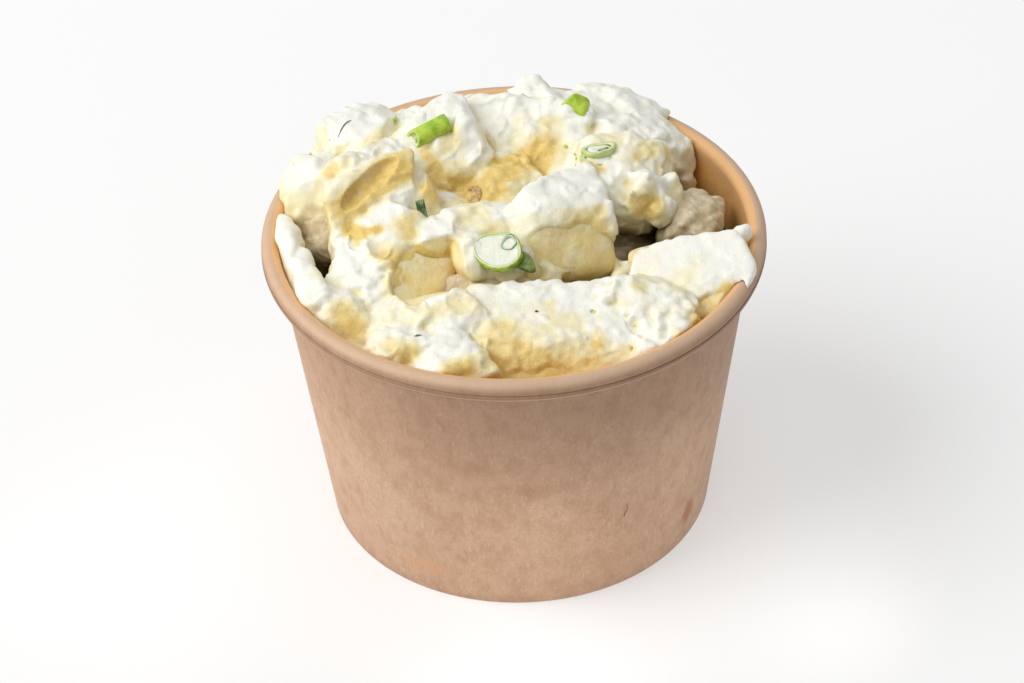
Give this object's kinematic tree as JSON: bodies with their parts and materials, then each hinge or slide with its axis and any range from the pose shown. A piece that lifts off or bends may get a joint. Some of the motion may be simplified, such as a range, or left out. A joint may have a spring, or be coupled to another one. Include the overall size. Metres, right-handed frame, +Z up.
{
  "type": "potato salad in a paper tub",
  "caption": "Round kraft paper tub with a rolled rim, heaped with potato salad: rough potato blocks in thick pale dressing, and cut green scallion on top.",
  "frame": {"origin": "middle of the foot, on the surface that the tub stands on", "axes": "+Z up along the tub's axis, -Y towards the viewer of the picture, +X to the viewer's right"},
  "size_m": [0.097, 0.097, 0.0749],
  "materials": {
    "kraft_board": "matte brown kraft board",
    "base_board": "matte brown kraft board",
    "potato_and_dressing": "moist cream",
    "scallion_green": "moist green"
  },
  "bodies": {
    "root": {"tub_wall": "kraft_board", "tub_base": "base_board", "potato_salad": "potato_and_dressing", "scallion_ring_front": "scallion_green", "scallion_stem_left": "scallion_green", "scallion_leaf_back": "scallion_green", "scallion_slices_back": "scallion_green", "scallion_sliver_left": "scallion_green", "scallion_bit_right": "scallion_green"}
  },
  "joints": []
}
